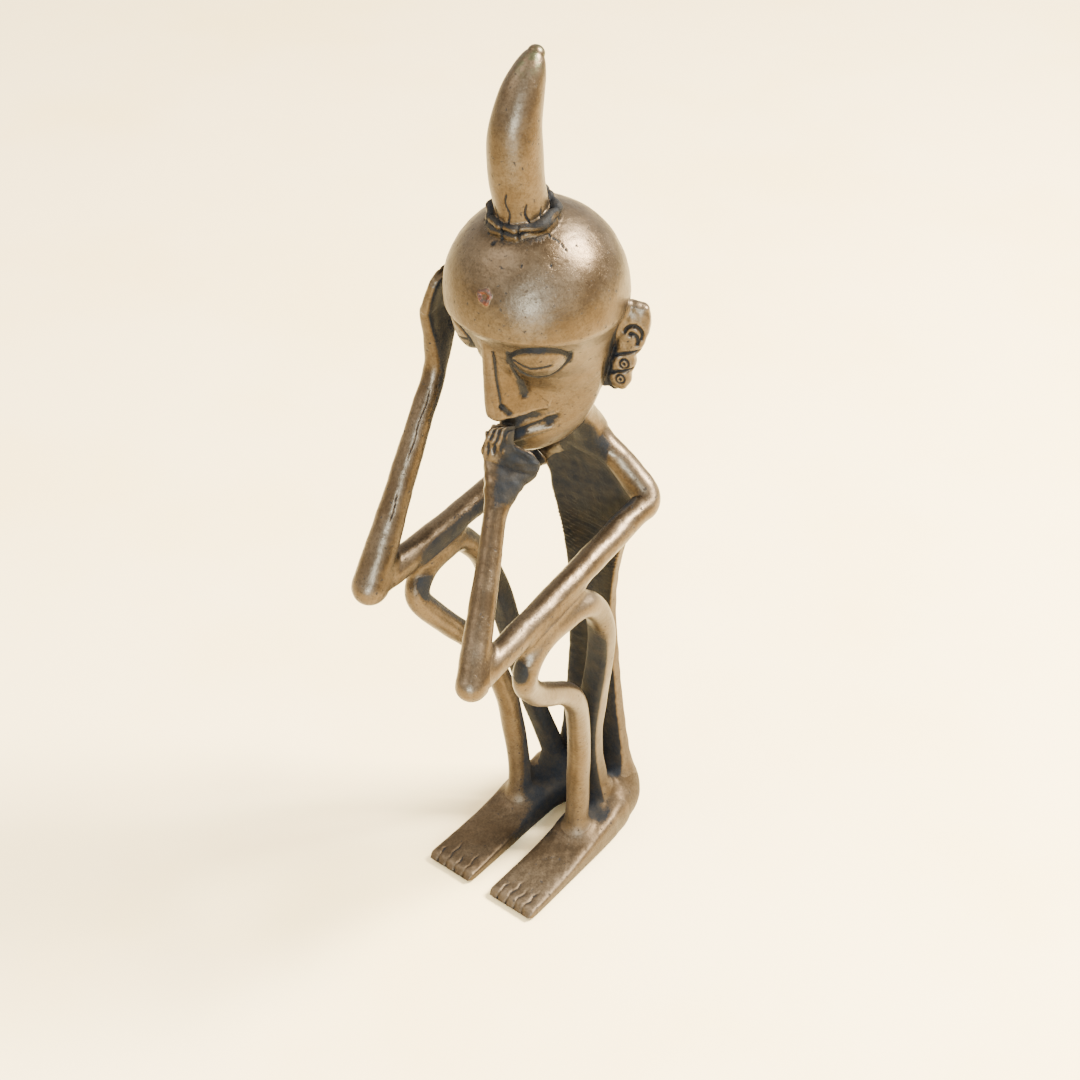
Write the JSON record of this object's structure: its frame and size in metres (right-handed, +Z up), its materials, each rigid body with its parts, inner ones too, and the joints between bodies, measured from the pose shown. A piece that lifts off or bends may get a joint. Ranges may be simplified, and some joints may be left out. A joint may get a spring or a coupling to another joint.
{
  "type": "figurine",
  "caption": "Cast bronze statuette of a thin squatting figure, one hand at its head and one at its mouth, with a tall curved horn on its round head.",
  "frame": {"origin": "on the plane of the soles, under the middle of the whole figure's box", "axes": "+Z up through the horn, -Y the way the figure faces, +X its own left side"},
  "size_m": [0.064, 0.0988, 0.288],
  "materials": {
    "bronze": "worn cast bronze, warm grey-brown, rubbed bright on its raised parts",
    "dark_bronze": "cast bronze with a near-black patina left in the sheltered places",
    "copper": "tarnished copper pin head with a reddish bloom",
    "clay": "fired casting core, dull brown, never seen"
  },
  "bodies": {
    "root": {"seat": "dark_bronze", "torso_plate": "dark_bronze", "shoulder_yoke": "bronze", "neck": "bronze", "left_foot": "bronze", "left_shin": "bronze", "left_knee": "bronze", "left_thigh": "dark_bronze", "right_foot": "bronze", "right_shin": "bronze", "right_knee": "bronze", "right_thigh": "dark_bronze", "left_upper_arm": "bronze", "left_forearm": "bronze", "left_hand": "bronze", "right_upper_arm": "bronze", "right_forearm": "bronze", "right_hand": "dark_bronze", "head_shell": "bronze", "head_core": "clay", "core_pin": "copper", "left_ear": "bronze", "right_ear": "bronze", "left_eye": "bronze", "right_eye": "bronze", "nose": "bronze", "mouth": "bronze", "lower_collar": "dark_bronze", "upper_collar": "dark_bronze", "horn": "bronze"}
  },
  "joints": []
}
